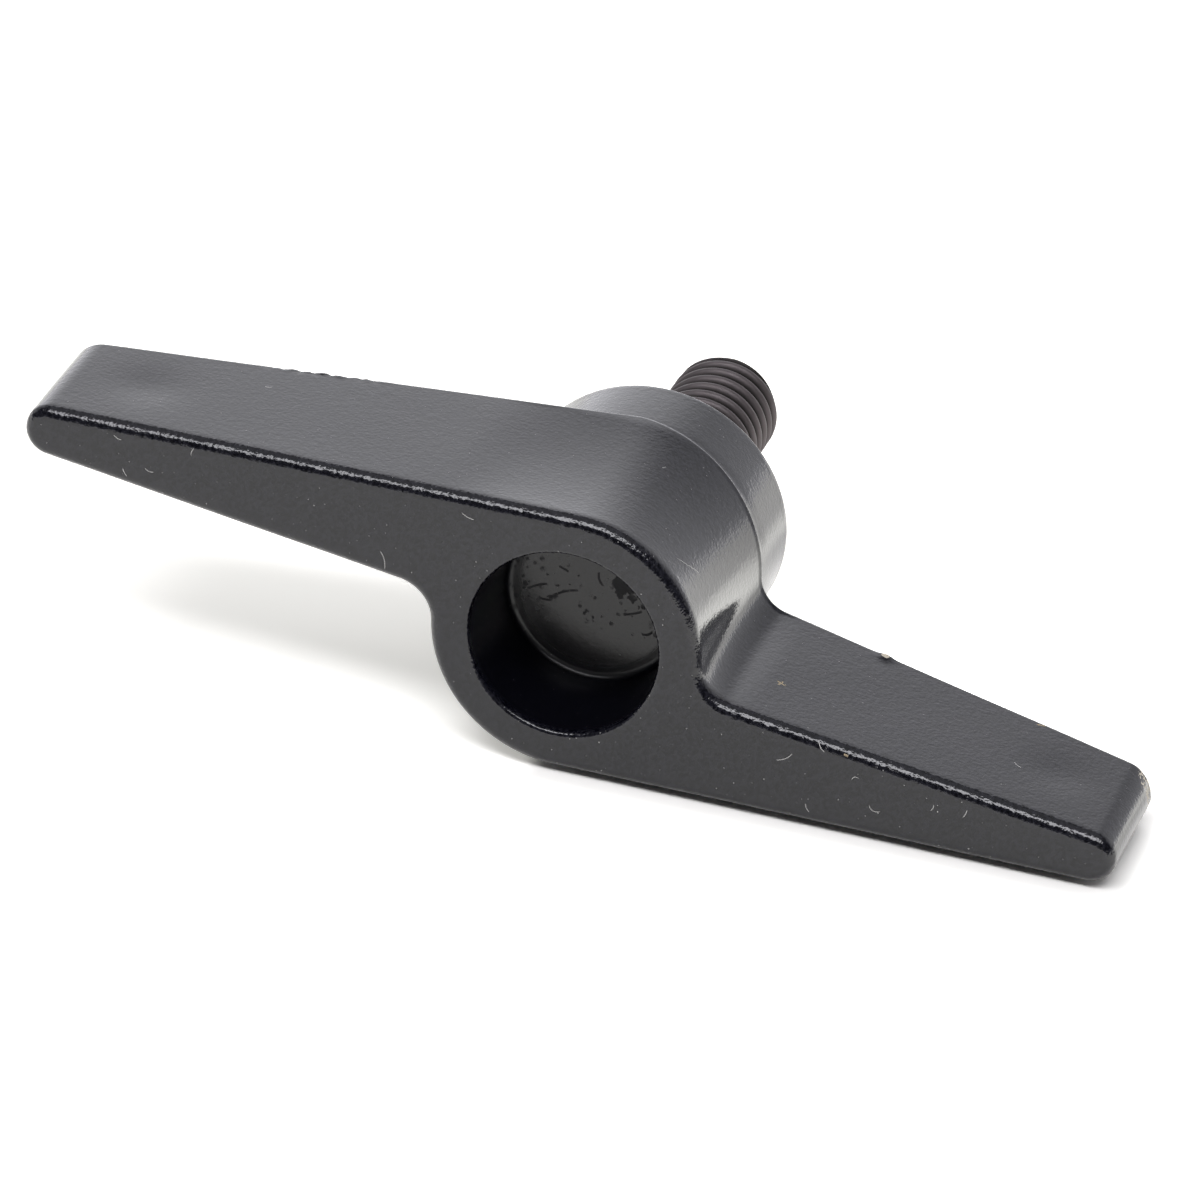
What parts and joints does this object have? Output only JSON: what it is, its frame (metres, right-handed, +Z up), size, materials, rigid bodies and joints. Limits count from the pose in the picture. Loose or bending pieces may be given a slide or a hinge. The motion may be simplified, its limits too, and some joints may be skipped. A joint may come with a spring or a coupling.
{
  "type": "locking knob",
  "caption": "Cast T-handle locking knob with two tapered wings offset either side of a recessed round hub and a threaded stud behind it, for clamping by hand.",
  "frame": {"origin": "centre of the collar's seat face, on the stud's axis", "axes": "+Y along the stud to its free end, +X along the wing that lies on the table, +Z up"},
  "size_m": [0.0936, 0.0493, 0.0236],
  "materials": {
    "black_coat": "satin",
    "black_oxide_steel": "black oxide"
  },
  "bodies": {
    "root": {"wing_handle": "black_coat", "threaded_stud": "black_oxide_steel"}
  },
  "joints": []
}
